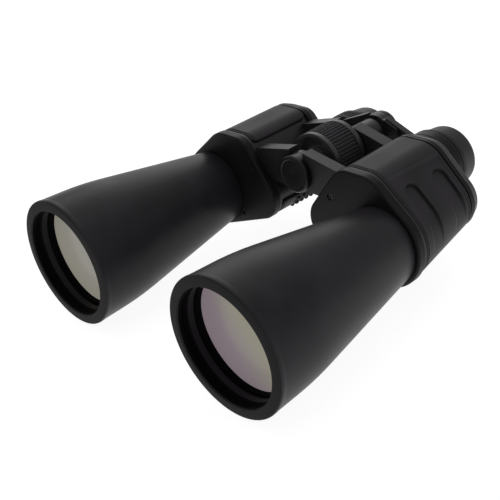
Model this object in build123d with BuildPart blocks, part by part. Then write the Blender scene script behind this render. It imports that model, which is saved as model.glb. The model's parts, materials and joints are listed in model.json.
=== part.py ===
"""Large porro-prism binoculars, modelled piece by piece in millimetres.

Frame: +Z up, +Y from the objectives to the eyecups, +X towards the user's left half.
The ground plane z = 0 touches the two front rims. Lengths along the optical axes are
"stations": millimetres behind the plane of the front rims.
"""
import os

from build123d import *

os.makedirs("parts", exist_ok=True)

# ---- driving dimensions -------------------------------------------------------------
RIM_R = 36.3            # outer radius of a front rim
CLEAR_R = 30.4          # bore of the front of a barrel
SEAT_R = 30.2           # bore behind it, for the lens and its rings
SEAT_ST = 9.6           # front end of that bore
FRONT_ST = -0.7         # foremost point of a rim
END_ST = 217.0          # rear end of the eyecups
OBJ_X = 62.5            # objective axis, from the middle plane
EYE_X = 29.8            # eyepiece axis, from the middle plane
OBJ_Z = RIM_R           # height of the objective axes
EYE_Z = OBJ_Z + 1.5     # height of the eyepiece axes
HINGE_Z = OBJ_Z + 22.3  # height of the hinge axis, in the middle plane
Y0 = -(FRONT_ST + END_ST) / 2   # row-frame y of station 0

RUN = 0.06              # radial clearance of a running fit
GAP = 0.2               # side clearance between faces that move past each other

# housing
COVER_ST = 110.2        # front face of the front cover
COVER_T = 5.0           # thickness of the front cover
BODY_ST = COVER_ST + COVER_T + 0.2      # front end of the cast housing
FLANGE_END = BODY_ST + 1.6              # rear face of the casting's front flange
ARMOUR_ST = BODY_ST + 1.8               # front edge of the rubber armour
BODY_END = 162.0        # rear end of the cast housing
ARMOUR_END = BODY_END - 0.2
REAR_END = 171.0        # rear face of the rear cover
ARMOUR_T = 1.8          # thickness of the rubber armour
WALL = 2.4              # thickness of the cast wall
# circles (x, z above the objective axis, radius) whose hull is the housing's outline:
# its lower outer corner draws in towards the rear
TOP_CIRCLES = ((51.0, 20.0, 16.5), (41.5, 24.5, 12.0), (27.5, 2.5, 14.0))
FRONT_OUTLINE = ((OBJ_X, 0.0, 24.4),) + TOP_CIRCLES
REAR_OUTLINE = ((65.2, 4.3, 17.3),) + TOP_CIRCLES
STEP_IN = 0.4           # the armour's front edge lies this far inside the front cover's rim
BAND_END = 165.0        # rear end of the rear cover's rim, from where it tapers
BARE_X = 31.6           # the armour stops here; nearer the hinge the casting is bare
BARE_Z = OBJ_Z - 6.0    # lower edge of the bare flank

# hinge
AXLE_R = 6.0
LUG_R = 10.6
TUBE_R = 8.4
WEB_FRONT = (117.0, 124.5)      # stations of the front arms
WEB_REAR = (156.0, 164.0)       # stations of the rear arms
FRONT_MEET = 120.6      # the two front knuckles meet here, the left one foremost
REAR_MEET = 158.6       # and the two rear ones here
TUBE_ST = 161.6         # front end of the left half's hinge tube
WEB_BOTTOM = HINGE_Z - 10.0
WEB_X = BARE_X - 0.1            # the tops of the arms end at the armour's edge
TUBE_END = 182.0
AXLE_ST = 119.4         # front end of the axle, behind the ring groove for the cap
AXLE_END = 181.8
CAP_R = 10.9
CAP_ST = 113.5
THREAD_R = 3.175        # quarter-inch tripod thread
THREAD_L = 9.5
BUSH_R = 5.0
BUSH_END = 128.0

# focusing
SHAFT_R = 3.0
SHAFT_ST = (131.0, 193.0)
DRIVE_PIN_R = 1.4
DRIVE_PIN_L = 17.2
DRIVE_PIN_ST = 141.0
FOCUS_IN = 2.0          # travel of the eyepieces towards the housing
FOCUS_OUT = 6.0         # travel of the eyepieces away from it
WHEEL = (132.0, 154.6)
WHEEL_R = (17.3, 17.75)
CORE_R = 15.9
GRIP_ST = (135.2, 151.3)
CAM = (136.8, 149.8, 9.8)       # cavity for the wheel's multi-start thread, and its radius
BRIDGE_ST = (184.6, 190.6)      # knuckles of the two bridge arms
BRIDGE_R = 9.7
BRIDGE_BORE = 5.0
BRIDGE_WEB = (186.0, 190.0)

# eyepieces
EYE_TUBE_R = 13.15
EYE_BORE_R = 11.65
COLLAR_R = 21.0
COLLAR_ST = (190.8, 203.0)
CUP_ST = 200.9
CUP_R = 19.7
CUP_END_R = 18.6

SIDES = (("left", 1), ("right", -1))


# ---- shared geometry ----------------------------------------------------------------
def section(station):
    """Plane across the optical axes at a station: its local x, y are X, Z."""
    return Plane.XZ.offset(-(Y0 + station))


def outline(station, side, circles, inset=0.0):
    """Housing outline at a station: the hull of four circles, each smaller by inset."""
    with BuildSketch(section(station)) as sketch:
        for x, up, radius in circles:
            with Locations((side * x, OBJ_Z + up)):
                Circle(radius - inset)
        make_hull()
    return sketch.sketch


def tapered(side, inset):
    """The outlines at the casting's front and rear ends, for lofting between them."""
    return [outline(BODY_ST, side, FRONT_OUTLINE, inset + STEP_IN),
            outline(BODY_END, side, REAR_OUTLINE, inset)]


def slab(station):
    """A square larger than a housing, for keeping only the part between two stations."""
    with BuildSketch(section(station)) as sketch:
        with Locations((0, OBJ_Z)):
            Rectangle(260, 160)
    return sketch.sketch


def polygon(station, *points):
    """Closed polygon of (x, z) points at a station."""
    with BuildSketch(section(station)) as sketch:
        with BuildLine():
            Polyline(*points, close=True)
        make_face()
    return sketch.sketch


def disc(station, x, z, radius):
    """Round face at a station."""
    with BuildSketch(section(station)) as sketch:
        with Locations((x, z)):
            Circle(radius)
    return sketch.sketch


def turned(x, z, *points):
    """Half section for turning about the axis at (x, z): points are (radius, station)."""
    with BuildSketch(Plane((x, Y0, z))) as sketch:
        with BuildLine():
            Polyline(*points, close=True)
        make_face()
    return sketch.sketch


def along(x, z):
    """Axis parallel to the optical axes through (x, z)."""
    return Axis((x, 0, z), (0, 1, 0))


def span(first, last):
    """Extrusion amount that goes from one station back to another."""
    return -(last - first)


def save(builder, name):
    """Label a finished piece and write it as one STEP file."""
    builder.part.label = name
    export_step(builder.part, f"parts/{name}.step")


HINGE = along(0, HINGE_Z)

# ---- objective barrel and lens --------------------------------------------------------
NECK_R = 20.5           # threaded neck in the front cover
NECK_END = COVER_ST + COVER_T
RETAINER_ST = (10.5, 13.6)
LENS_R = SEAT_R - 0.1
LENS_ST = 13.9          # edge of the front surface
CROWN_R1 = 120.0        # front radius of curvature
CROWN_R2 = 100.0        # cemented radius of curvature
CROWN_EDGE = 2.2
FLINT_END = 23.0
SPACER_END = 27.0
BAFFLE_ST = 70.0


def sag(curvature, radius):
    """Depth of a spherical surface at a radius from its axis."""
    return curvature - (curvature**2 - radius**2) ** 0.5


for tag, side in SIDES:
    x = side * OBJ_X
    axis = along(x, OBJ_Z)

    with BuildPart() as barrel:
        revolve(turned(
            x, OBJ_Z, (CLEAR_R, FRONT_ST + 0.3), (CLEAR_R + 0.5, FRONT_ST), (34.4, -0.1),
            (35.8, 0.8), (RIM_R, 2.4), (RIM_R, 4.5), (35.1, 28.0), (22.0, 110.0),
            (NECK_R, 110.0), (NECK_R, NECK_END), (18.8, NECK_END), (18.8, 108.5),
            (31.8, 31.5), (28.8, 29.5), (28.8, SPACER_END), (SEAT_R, SPACER_END),
            (SEAT_R, SEAT_ST), (CLEAR_R, SEAT_ST)), axis=axis)
    save(barrel, f"{tag}_objective_barrel")

    with BuildPart() as retainer:
        first, last = RETAINER_ST
        revolve(turned(x, OBJ_Z, (29.3, first), (SEAT_R, first), (SEAT_R, last),
                       (29.3, last)), axis=axis)
        with BuildSketch(section(first)):
            with Locations((x, OBJ_Z)):
                Rectangle(2 * SEAT_R + 2, 2.4)
        extrude(amount=span(0, 1.2), mode=Mode.SUBTRACT)
    save(retainer, f"{tag}_lens_retaining_ring")

    mid = LENS_ST + CROWN_EDGE
    with BuildPart() as crown:
        with BuildSketch(Plane((x, Y0, OBJ_Z))):
            with BuildLine():
                front = ThreePointArc(
                    (0, LENS_ST - sag(CROWN_R1, LENS_R)),
                    (LENS_R / 2, LENS_ST - sag(CROWN_R1, LENS_R) + sag(CROWN_R1, LENS_R / 2)),
                    (LENS_R, LENS_ST))
                rear = ThreePointArc(
                    (LENS_R, mid),
                    (LENS_R / 2, mid + sag(CROWN_R2, LENS_R) - sag(CROWN_R2, LENS_R / 2)),
                    (0, mid + sag(CROWN_R2, LENS_R)))
                Line(front @ 1, rear @ 0)
                Line(rear @ 1, front @ 0)
            make_face()
        revolve(axis=axis)
    save(crown, f"{tag}_objective_crown_lens")

    cement = mid + 0.05
    with BuildPart() as flint:
        with BuildSketch(Plane((x, Y0, OBJ_Z))):
            with BuildLine():
                front = ThreePointArc(
                    (LENS_R, cement),
                    (LENS_R / 2, cement + sag(CROWN_R2, LENS_R) - sag(CROWN_R2, LENS_R / 2)),
                    (0, cement + sag(CROWN_R2, LENS_R)))
                Polyline(front @ 1, (0, FLINT_END), (LENS_R, FLINT_END), front @ 0)
            make_face()
        revolve(axis=axis)
    save(flint, f"{tag}_objective_flint_lens")

    with BuildPart() as spacer:
        revolve(turned(x, OBJ_Z, (28.8, FLINT_END), (SEAT_R, FLINT_END),
                       (SEAT_R, SPACER_END), (28.8, SPACER_END)), axis=axis)
    save(spacer, f"{tag}_lens_spacer_ring")

    wall = 31.8 - (31.8 - 18.8) * (BAFFLE_ST - 31.5) / (108.5 - 31.5)
    with BuildPart() as baffle:
        revolve(turned(x, OBJ_Z, (18.0, BAFFLE_ST), (wall - 0.02, BAFFLE_ST),
                       (wall - 0.3, BAFFLE_ST + 1.2), (18.0, BAFFLE_ST + 1.2)), axis=axis)
    save(baffle, f"{tag}_barrel_baffle")

# ---- housing: covers, casting, armour, prisms -------------------------------------------
SCREW_R = 1.0
HEAD_R = 1.7
HEAD_T = 1.2
RECESS_R = 1.9
RECESS_D = 1.8
BOSS_R = 3.0
FRONT_SCREWS = ((29.6, 18.5), (40.5, -10.8))
REAR_SCREWS = ((30.5, 19.5), (57.5, 28.5), (73.6, -3.6))
SHELF = (137.2, 138.8)
TURN_X = (OBJ_X + EYE_X) / 2    # the light turns here between the two prisms
TURN_Z = OBJ_Z + (OBJ_X - EYE_X) / 2
PRISM_HALF = 16.9       # half length of a prism's long face, and its depth
PRISM_W = 14.6
STRAP_W = 5.0
STRAP_T = 0.5
COVER_SEAT = BODY_END + 0.1     # front face of the rear cover
BAND_IN = 0.3           # the rear cover's rim lies this far inside the armour
GUIDE_R = 16.5
GUIDE_END = 181.0


def web(side, stations, top_inner, top_outer):
    """Arm between housing and hinge: a plate whose top falls from the hinge outwards."""
    return polygon(
        stations[0], (side * top_inner[0], top_inner[1]), (side * top_outer[0], top_outer[1]),
        (side * top_outer[0], HINGE_Z), (side * 34.0, WEB_BOTTOM), (0, WEB_BOTTOM),
        (0, HINGE_Z), (side * top_inner[0], HINGE_Z))


def prism_plane(first, last, station, side, facing):
    """Plane at a prism's long face: x along the light's shift, z out of the apex."""
    middle = ((first[0] + last[0]) / 2, (first[1] + last[1]) / 2)
    shift = (side * (last[0] - first[0]), 0, last[1] - first[1])
    return Plane(origin=(side * middle[0], Y0 + station, middle[1]), x_dir=shift,
                 z_dir=(0, facing, 0))


def prism_side(face):
    """Plane down the middle of a prism: x along the long face, y towards the apex."""
    return Plane(origin=face.origin, x_dir=face.x_dir, z_dir=face.x_dir.cross(face.z_dir))


for tag, side in SIDES:
    own_left = side > 0

    with BuildPart() as front_cover:
        extrude(outline(COVER_ST, side, FRONT_OUTLINE), amount=span(0, COVER_T))
        fillet(front_cover.faces().sort_by(Axis.Y)[0].edges(), 1.2)
        extrude(disc(COVER_ST, side * OBJ_X, OBJ_Z, NECK_R), amount=span(0, COVER_T),
                mode=Mode.SUBTRACT)
        for sx, up in FRONT_SCREWS:
            extrude(disc(COVER_ST, side * sx, OBJ_Z + up, RECESS_R), amount=span(0, RECESS_D),
                    mode=Mode.SUBTRACT)
            extrude(disc(COVER_ST, side * sx, OBJ_Z + up, SCREW_R), amount=span(0, COVER_T),
                    mode=Mode.SUBTRACT)
    save(front_cover, f"{tag}_front_cover")

    with BuildPart() as housing:
        extrude(outline(BODY_ST, side, FRONT_OUTLINE, STEP_IN + 0.3),
                amount=span(BODY_ST, FLANGE_END))
        loft(tapered(side, ARMOUR_T))
        # arms and their knuckles
        extrude(web(side, WEB_FRONT, (5.2, HINGE_Z + 12.8), (WEB_X, HINGE_Z + 7.5)),
                amount=span(*WEB_FRONT))
        extrude(web(side, WEB_REAR, (7.5, HINGE_Z + 14.3), (WEB_X, HINGE_Z + 7.8)),
                amount=span(*WEB_REAR))
        extrude(outline(BODY_END, side, REAR_OUTLINE, 0.0), amount=span(BODY_END, WEB_REAR[1]),
                mode=Mode.SUBTRACT)
        if own_left:
            own = ((WEB_FRONT[0], FRONT_MEET, LUG_R), (WEB_REAR[0], REAR_MEET, LUG_R),
                   (TUBE_ST, TUBE_END, TUBE_R))
            other = ((FRONT_MEET, WEB_FRONT[1], LUG_R), (REAR_MEET, TUBE_ST, LUG_R))
        else:
            own = ((FRONT_MEET + GAP, WEB_FRONT[1], LUG_R),
                   (REAR_MEET + GAP, TUBE_ST - GAP, LUG_R))
            other = ((WEB_FRONT[0], FRONT_MEET + GAP, LUG_R),
                     (WEB_REAR[0], REAR_MEET + GAP, LUG_R),
                     (TUBE_ST - GAP, WEB_REAR[1], LUG_R))
        for first, last, radius in other:
            extrude(disc(first, 0, HINGE_Z, radius + 0.3), amount=span(first, last),
                    mode=Mode.SUBTRACT)
        for first, last, radius in own:
            extrude(disc(first, 0, HINGE_Z, radius), amount=span(first, last))
        # prism chamber
        loft(tapered(side, ARMOUR_T + WALL), mode=Mode.SUBTRACT)
        for sx, up in FRONT_SCREWS:
            extrude(disc(BODY_ST, side * sx, OBJ_Z + up, BOSS_R), amount=span(0, 7.0))
            extrude(disc(BODY_ST, side * sx, OBJ_Z + up, SCREW_R), amount=span(0, 5.0),
                    mode=Mode.SUBTRACT)
        for sx, up in REAR_SCREWS:
            extrude(disc(BODY_END - 7.0, side * sx, OBJ_Z + up, BOSS_R), amount=span(0, 7.0))
            extrude(disc(BODY_END - 5.0, side * sx, OBJ_Z + up, SCREW_R), amount=span(0, 5.0),
                    mode=Mode.SUBTRACT)
        bore = AXLE_R if own_left else AXLE_R + RUN
        extrude(disc(WEB_FRONT[0], 0, HINGE_Z, bore), amount=span(WEB_FRONT[0], TUBE_END),
                mode=Mode.SUBTRACT)
    save(housing, f"{tag}_prism_housing")

    with BuildPart() as armour:
        loft(tapered(side, 0.0))
        loft(tapered(side, ARMOUR_T), mode=Mode.SUBTRACT)
        extrude(slab(ARMOUR_ST), amount=span(ARMOUR_ST, ARMOUR_END), mode=Mode.INTERSECT)
        extrude(polygon(ARMOUR_ST, (0, BARE_Z), (side * 22.0, BARE_Z), (side * BARE_X, 48.0),
                        (side * BARE_X, 90.0), (0, 90.0)), amount=span(ARMOUR_ST, BODY_END),
                mode=Mode.SUBTRACT)
    save(armour, f"{tag}_rubber_armour")

    with BuildPart() as shelf:
        loft(tapered(side, ARMOUR_T + WALL + 0.02))
        extrude(slab(SHELF[0]), amount=span(*SHELF), mode=Mode.INTERSECT)
        for hx, hz, radius in ((OBJ_X, OBJ_Z, 9.0), (TURN_X, TURN_Z, 8.0), (EYE_X, EYE_Z, 9.0)):
            extrude(disc(SHELF[0], side * hx, hz, radius), amount=span(*SHELF),
                    mode=Mode.SUBTRACT)
    save(shelf, f"{tag}_prism_shelf")

    rear_face = prism_plane((OBJ_X, OBJ_Z), (TURN_X, TURN_Z), SHELF[1] + 0.05, side, 1)
    front_face = prism_plane((TURN_X, TURN_Z), (EYE_X, EYE_Z), SHELF[0] - 0.05, side, -1)
    for name, face in (("objective_prism", rear_face), ("eyepiece_prism", front_face)):
        with BuildPart() as prism:
            with BuildSketch(prism_side(face)):
                with BuildLine():
                    Polyline((-PRISM_HALF, 0), (PRISM_HALF, 0), (1.0, PRISM_HALF - 1),
                             (-1.0, PRISM_HALF - 1), close=True)
                make_face()
            extrude(amount=PRISM_W / 2, both=True)
        save(prism, f"{tag}_{name}")

        rise = STRAP_T * 2**0.5
        with BuildPart() as strap:
            with BuildSketch(prism_side(face)):
                with BuildLine():
                    Polyline((-PRISM_HALF - 0.3, 0), (-PRISM_HALF - 0.3 - rise, 0),
                             (-1.0, PRISM_HALF - 0.4 + rise), (1.0, PRISM_HALF - 0.4 + rise),
                             (PRISM_HALF + 0.3 + rise, 0), (PRISM_HALF + 0.3, 0),
                             (1.0, PRISM_HALF - 0.6), (-1.0, PRISM_HALF - 0.6), close=True)
                make_face()
            extrude(amount=STRAP_W / 2, both=True)
        save(strap, f"{tag}_{name}_strap")

    with BuildPart() as rear_cover:
        extrude(outline(COVER_SEAT, side, REAR_OUTLINE, BAND_IN), amount=span(COVER_SEAT, BAND_END))
        loft([outline(BAND_END, side, REAR_OUTLINE, BAND_IN),
              outline(REAR_END, side, REAR_OUTLINE, 2.6)])
        fillet(rear_cover.edges().group_by(Axis.Y)[-1], radius=1.2)
        extrude(disc(REAR_END - 1, side * EYE_X, EYE_Z, GUIDE_R),
                amount=span(REAR_END - 1, GUIDE_END))
        extrude(outline(COVER_SEAT, side, REAR_OUTLINE, 4.4),
                amount=span(COVER_SEAT, REAR_END - 2.5), mode=Mode.SUBTRACT)
        extrude(disc(BODY_END, side * EYE_X, EYE_Z, EYE_TUBE_R + RUN),
                amount=span(BODY_END, GUIDE_END), mode=Mode.SUBTRACT)
        for sx, up in REAR_SCREWS:
            extrude(disc(COVER_SEAT, side * sx, OBJ_Z + up, BOSS_R),
                    amount=span(COVER_SEAT, REAR_END - 2.5))
            extrude(disc(REAR_END, side * sx, OBJ_Z + up, RECESS_R),
                    amount=-span(0, RECESS_D), mode=Mode.SUBTRACT)
            extrude(disc(REAR_END, side * sx, OBJ_Z + up, SCREW_R),
                    amount=-span(BODY_END, REAR_END), mode=Mode.SUBTRACT)
    save(rear_cover, f"{tag}_rear_cover")

    with BuildPart() as screws:
        for sx, up in FRONT_SCREWS:
            under = COVER_ST + RECESS_D
            extrude(disc(under - HEAD_T, side * sx, OBJ_Z + up, HEAD_R), amount=span(0, HEAD_T))
            extrude(disc(under, side * sx, OBJ_Z + up, SCREW_R),
                    amount=span(under, BODY_ST + 4.8))
        for sx, up in REAR_SCREWS:
            under = REAR_END - RECESS_D
            extrude(disc(under, side * sx, OBJ_Z + up, HEAD_R), amount=span(0, HEAD_T))
            extrude(disc(BODY_END - 4.8, side * sx, OBJ_Z + up, SCREW_R),
                    amount=span(BODY_END - 4.8, under))
    save(screws, f"{tag}_cover_screws")

# ---- hinge and focusing ------------------------------------------------------------------
with BuildPart() as axle:
    extrude(disc(AXLE_ST, 0, HINGE_Z, AXLE_R), amount=span(AXLE_ST, AXLE_END))
    extrude(disc(AXLE_ST, 0, HINGE_Z, BUSH_R), amount=span(AXLE_ST, BUSH_END),
            mode=Mode.SUBTRACT)
    extrude(disc(BUSH_END, 0, HINGE_Z, SHAFT_R + RUN), amount=span(BUSH_END, AXLE_END),
            mode=Mode.SUBTRACT)
    slot_first = DRIVE_PIN_ST - FOCUS_IN - DRIVE_PIN_R - 0.3
    slot_last = DRIVE_PIN_ST + FOCUS_OUT + DRIVE_PIN_R + 0.3
    with Locations((0, Y0 + (slot_first + slot_last) / 2, HINGE_Z)):
        Box(2 * AXLE_R + 2, slot_last - slot_first, 2 * DRIVE_PIN_R + 0.2, mode=Mode.SUBTRACT)
save(axle, "hinge_axle")

with BuildPart() as bush:
    extrude(disc(WEB_FRONT[0], 0, HINGE_Z, BUSH_R), amount=span(WEB_FRONT[0], BUSH_END))
    extrude(disc(WEB_FRONT[0], 0, HINGE_Z, THREAD_R), amount=span(0, THREAD_L),
            mode=Mode.SUBTRACT)
save(bush, "tripod_bush")

with BuildPart() as tripod_cap:
    first = CAP_ST
    last = WEB_FRONT[0] - 0.05
    # a thin skirt grips the bush in the ring groove, so the threaded hole stays free
    revolve(turned(0, HINGE_Z, (0, first), (CAP_R - 0.8, first), (CAP_R, first + 0.8),
                   (CAP_R, last), (AXLE_R - RUN, last), (AXLE_R - RUN, AXLE_ST - 0.4),
                   (BUSH_R + RUN, AXLE_ST - 0.4), (BUSH_R + RUN, last), (0, last)), axis=HINGE)
save(tripod_cap, "tripod_cap")

with BuildPart() as spacer_sleeve:
    revolve(turned(0, HINGE_Z, (AXLE_R, WEB_FRONT[1] + GAP), (8.4, WEB_FRONT[1] + GAP),
                   (8.4, WHEEL[0] + 0.4), (AXLE_R, WHEEL[0] + 0.4)), axis=HINGE)
save(spacer_sleeve, "wheel_spacer_sleeve")

with BuildPart() as washer:
    first, last = WHEEL[1] + GAP, WEB_REAR[0]
    revolve(turned(0, HINGE_Z, (AXLE_R, first), (9.0, first), (9.0, last), (AXLE_R, last)),
            axis=HINGE)
save(washer, "wheel_thrust_washer")

with BuildPart() as wheel:
    front, rear = WHEEL
    revolve(turned(
        0, HINGE_Z, (AXLE_R + RUN, front + 0.6), (9.2, front + 0.6), (9.2, front + 3.0),
        (14.8, front + 3.0), (14.8, front + 0.3), (15.1, front), (WHEEL_R[0] - 0.5, front),
        (WHEEL_R[0], front + 0.5), (WHEEL_R[0], GRIP_ST[0]), (CORE_R, GRIP_ST[0]),
        (CORE_R, GRIP_ST[1]), (WHEEL_R[1], GRIP_ST[1]), (WHEEL_R[1], rear - 0.5),
        (WHEEL_R[1] - 0.5, rear), (AXLE_R + RUN, rear), (AXLE_R + RUN, CAM[1]), (CAM[2], CAM[1]),
        (CAM[2], CAM[0]), (AXLE_R + RUN, CAM[0])), axis=HINGE)
save(wheel, "focus_wheel")

with BuildPart() as grip:
    first, last = GRIP_ST[0] + 0.05, GRIP_ST[1] - 0.05
    revolve(turned(0, HINGE_Z, (CORE_R, first), (WHEEL_R[0] + 0.1, first),
                   (WHEEL_R[1] - 0.1, last), (CORE_R, last)), axis=HINGE)
save(grip, "focus_wheel_grip")

with BuildPart() as shaft:
    extrude(disc(SHAFT_ST[0], 0, HINGE_Z, SHAFT_R), amount=span(*SHAFT_ST))
    extrude(disc(BRIDGE_ST[0] - 0.1, 0, HINGE_Z, BRIDGE_BORE),
            amount=span(BRIDGE_ST[0] - 0.1, BRIDGE_ST[1] + 0.2))
    with BuildSketch(Plane.YZ):
        with Locations((Y0 + DRIVE_PIN_ST, HINGE_Z)):
            Circle(DRIVE_PIN_R)
    extrude(amount=DRIVE_PIN_L / 2, both=True)
save(shaft, "focus_shaft")

with BuildPart() as end_cap:
    first = BRIDGE_ST[1] + 0.3
    revolve(turned(0, HINGE_Z, (SHAFT_R, first), (BRIDGE_R, first), (BRIDGE_R, first + 2.4),
                   (BRIDGE_R - 0.9, first + 3.9), (BRIDGE_R - 2.6, first + 4.7),
                   (0, first + 4.9), (0, SHAFT_ST[1]), (SHAFT_R, SHAFT_ST[1])), axis=HINGE)
save(end_cap, "bridge_end_cap")

# ---- eyepieces ----------------------------------------------------------------------------
BRIDGE_MEET = 187.5
KNUCKLES = {"left": (BRIDGE_ST[0], BRIDGE_MEET), "right": (BRIDGE_MEET + GAP, BRIDGE_ST[1])}

for tag, side in SIDES:
    x = side * EYE_X
    axis = along(x, EYE_Z)
    moving_ocular = tag == "right"
    first, last = KNUCKLES[tag]

    with BuildPart() as bridge_arm:
        extrude(polygon(
            BRIDGE_WEB[0], (side * 7.0, HINGE_Z + 8.8), (side * 27.0, HINGE_Z + 0.3),
            (side * 36.0, HINGE_Z - 6.0), (side * 30.0, HINGE_Z - 16.0),
            (side * 16.0, HINGE_Z - 15.0), (side * 6.0, HINGE_Z - 8.0)),
            amount=span(*BRIDGE_WEB))
        extrude(polygon(
            first, (side * 2.0, HINGE_Z + 8.0), (side * 7.0, HINGE_Z + 8.0),
            (side * 16.0, HINGE_Z + 4.0), (side * 20.0, HINGE_Z - 10.0),
            (side * 2.0, HINGE_Z - 8.0)), amount=span(first, last))
        extrude(disc(BRIDGE_ST[0], x, EYE_Z, 18.2), amount=span(BRIDGE_ST[0], BRIDGE_WEB[1]))
        for low, high in ((BRIDGE_ST[0] - 1, first), (last, BRIDGE_ST[1] + 1)):
            extrude(disc(low, 0, HINGE_Z, BRIDGE_R + 0.4), amount=span(low, high),
                    mode=Mode.SUBTRACT)
        extrude(disc(first, 0, HINGE_Z, BRIDGE_R), amount=span(first, last))
        extrude(disc(first, 0, HINGE_Z, BRIDGE_BORE + RUN), amount=span(first, last),
                mode=Mode.SUBTRACT)
        extrude(disc(BRIDGE_ST[0], x, EYE_Z, EYE_TUBE_R), amount=span(BRIDGE_ST[0], 192),
                mode=Mode.SUBTRACT)
    save(bridge_arm, f"{tag}_bridge_arm")

    with BuildPart() as eye_tube:
        revolve(turned(x, EYE_Z, (EYE_BORE_R, 172.0), (EYE_TUBE_R, 172.0),
                       (EYE_TUBE_R, 203.5), (EYE_BORE_R, 203.5)), axis=axis)
    save(eye_tube, f"{tag}_eyepiece_tube")

    collar_bore = EYE_TUBE_R + (RUN if moving_ocular else 0)
    with BuildPart() as collar:
        first, last = COLLAR_ST
        revolve(turned(x, EYE_Z, (collar_bore, first), (COLLAR_R - 1.0, first),
                       (COLLAR_R, first + 1.0), (COLLAR_R, last - 0.4),
                       (COLLAR_R - 0.4, last), (CUP_R + 0.3, last), (CUP_R + 0.3, 199.0),
                       (collar_bore, 199.0)), axis=axis)
    save(collar, "right_dioptre_ring" if moving_ocular else "left_eyepiece_collar")

    with BuildPart() as field_lens:
        revolve(turned(x, EYE_Z, (0, 190.2), (4.5, 190.5), (8.9, 191.6), (8.9, 194.4),
                       (0, 194.4)), axis=axis)
    save(field_lens, f"{tag}_field_lens")

    with BuildPart() as cell:
        revolve(turned(x, EYE_Z, (8.2, 189.0), (EYE_BORE_R - RUN, 189.0),
                       (EYE_BORE_R - RUN, 205.3), (17.2, 205.3), (17.2, 208.8),
                       (12.2, 210.2), (10.9, 210.2), (10.9, 205.8), (9.0, 205.8),
                       (9.0, 190.2), (8.2, 190.2)), axis=axis)
    save(cell, f"{tag}_ocular_cell")

    with BuildPart() as eye_lens:
        revolve(turned(x, EYE_Z, (0, 205.9), (10.8, 205.9), (10.8, 208.6), (6.5, 209.5),
                       (0, 209.9)), axis=axis)
    save(eye_lens, f"{tag}_eye_lens")

    with BuildPart() as eyecup:
        revolve(turned(
            x, EYE_Z, (17.2, CUP_ST), (CUP_R - 0.4, CUP_ST), (CUP_R, CUP_ST + 0.4),
            (CUP_R, 206.2), (19.2, 206.8), (CUP_END_R, 215.6), (18.2, 216.6),
            (17.4, END_ST), (16.6, 216.4), (16.2, 215.4), (16.2, 210.4), (17.2, 209.2)),
            axis=axis)
    save(eyecup, f"{tag}_eyecup")
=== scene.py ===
# %% [markdown]
# # Large porro-prism binoculars
# A pair of binoculars with wide front lenses. The engineering model already holds every
# piece in its true place and size, so it is loaded first as a fixed frame. This lesson
# then gives each visible piece its finished shape and its surface. All lengths along
# the optical axes are "stations": millimetres behind the plane of the two front rims.

import json
import math

import bmesh
import bpy
import numpy as np
from mathutils import Matrix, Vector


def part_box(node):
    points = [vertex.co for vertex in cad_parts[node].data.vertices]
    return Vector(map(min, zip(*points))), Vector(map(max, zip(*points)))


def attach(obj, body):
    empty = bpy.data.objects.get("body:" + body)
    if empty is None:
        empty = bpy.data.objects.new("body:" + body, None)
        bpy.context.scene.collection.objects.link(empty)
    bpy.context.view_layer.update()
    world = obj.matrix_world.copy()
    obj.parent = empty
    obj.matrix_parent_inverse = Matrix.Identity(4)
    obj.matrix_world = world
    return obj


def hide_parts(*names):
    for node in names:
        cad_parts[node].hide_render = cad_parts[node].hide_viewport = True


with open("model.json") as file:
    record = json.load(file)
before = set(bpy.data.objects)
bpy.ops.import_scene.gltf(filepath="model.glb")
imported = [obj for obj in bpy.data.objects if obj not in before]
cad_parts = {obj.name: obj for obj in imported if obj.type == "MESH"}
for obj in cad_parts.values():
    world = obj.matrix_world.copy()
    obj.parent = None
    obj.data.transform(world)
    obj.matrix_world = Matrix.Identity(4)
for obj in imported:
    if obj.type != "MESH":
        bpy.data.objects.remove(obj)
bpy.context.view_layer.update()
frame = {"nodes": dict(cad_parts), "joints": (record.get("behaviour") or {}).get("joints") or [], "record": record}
record = frame["record"]
nodes = frame["nodes"]

# %% [markdown]
# ## Where things are
# Real binoculars are built around three kinds of axis: one through each front lens, one
# through each eyepiece, and the hinge between them. Their places could be typed in, but
# reading them from the frame's boxes and joints keeps this file true to the model.

# %% Axes and names
MM = 0.001
SIDES = (("left", 1), ("right", -1))


def middle(node):
    """The x and z of the middle of a piece's box, in metres."""
    low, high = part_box(node)
    return (low.x + high.x) / 2, (low.z + high.z) / 2


LENS_AXIS = {tag: middle(f"{tag}_objective_barrel") for tag, _ in SIDES}
EYE_AXIS = {tag: middle(f"{tag}_eyecup") for tag, _ in SIDES}
HINGE = next(j["pos_m"] for j in frame["joints"] if j["name"] == "fold")
RIM_BULGE = 0.7    # mm by which the rim's inner edge stands in front of station 0
RIM_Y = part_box("left_objective_barrel")[0].y + RIM_BULGE * MM
BODY_OF = {n: b for b, group in record["behaviour"]["bodies"].items() for n in group}
SLOT_OF = {part["node"]: part["material_slot"] for part in record["subparts"]}
print("lens axes", LENS_AXIS, "eyepiece axes", EYE_AXIS, "hinge", HINGE)

# %% [markdown]
# ## Surfaces from formulas
# Almost every piece here is either turned on a lathe or moulded to one outline. Both
# are grids: one direction goes around, the other goes along. Working the whole grid out
# as arrays is quick and exact, and one helper turns any grid of points into a mesh.


# %% Grid to mesh
def placed(name, data):
    """A new object with this mesh, lamp or camera, put into the scene at the origin."""
    thing = bpy.data.objects.new(name, data)
    bpy.context.scene.collection.objects.link(thing)
    return thing


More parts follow.
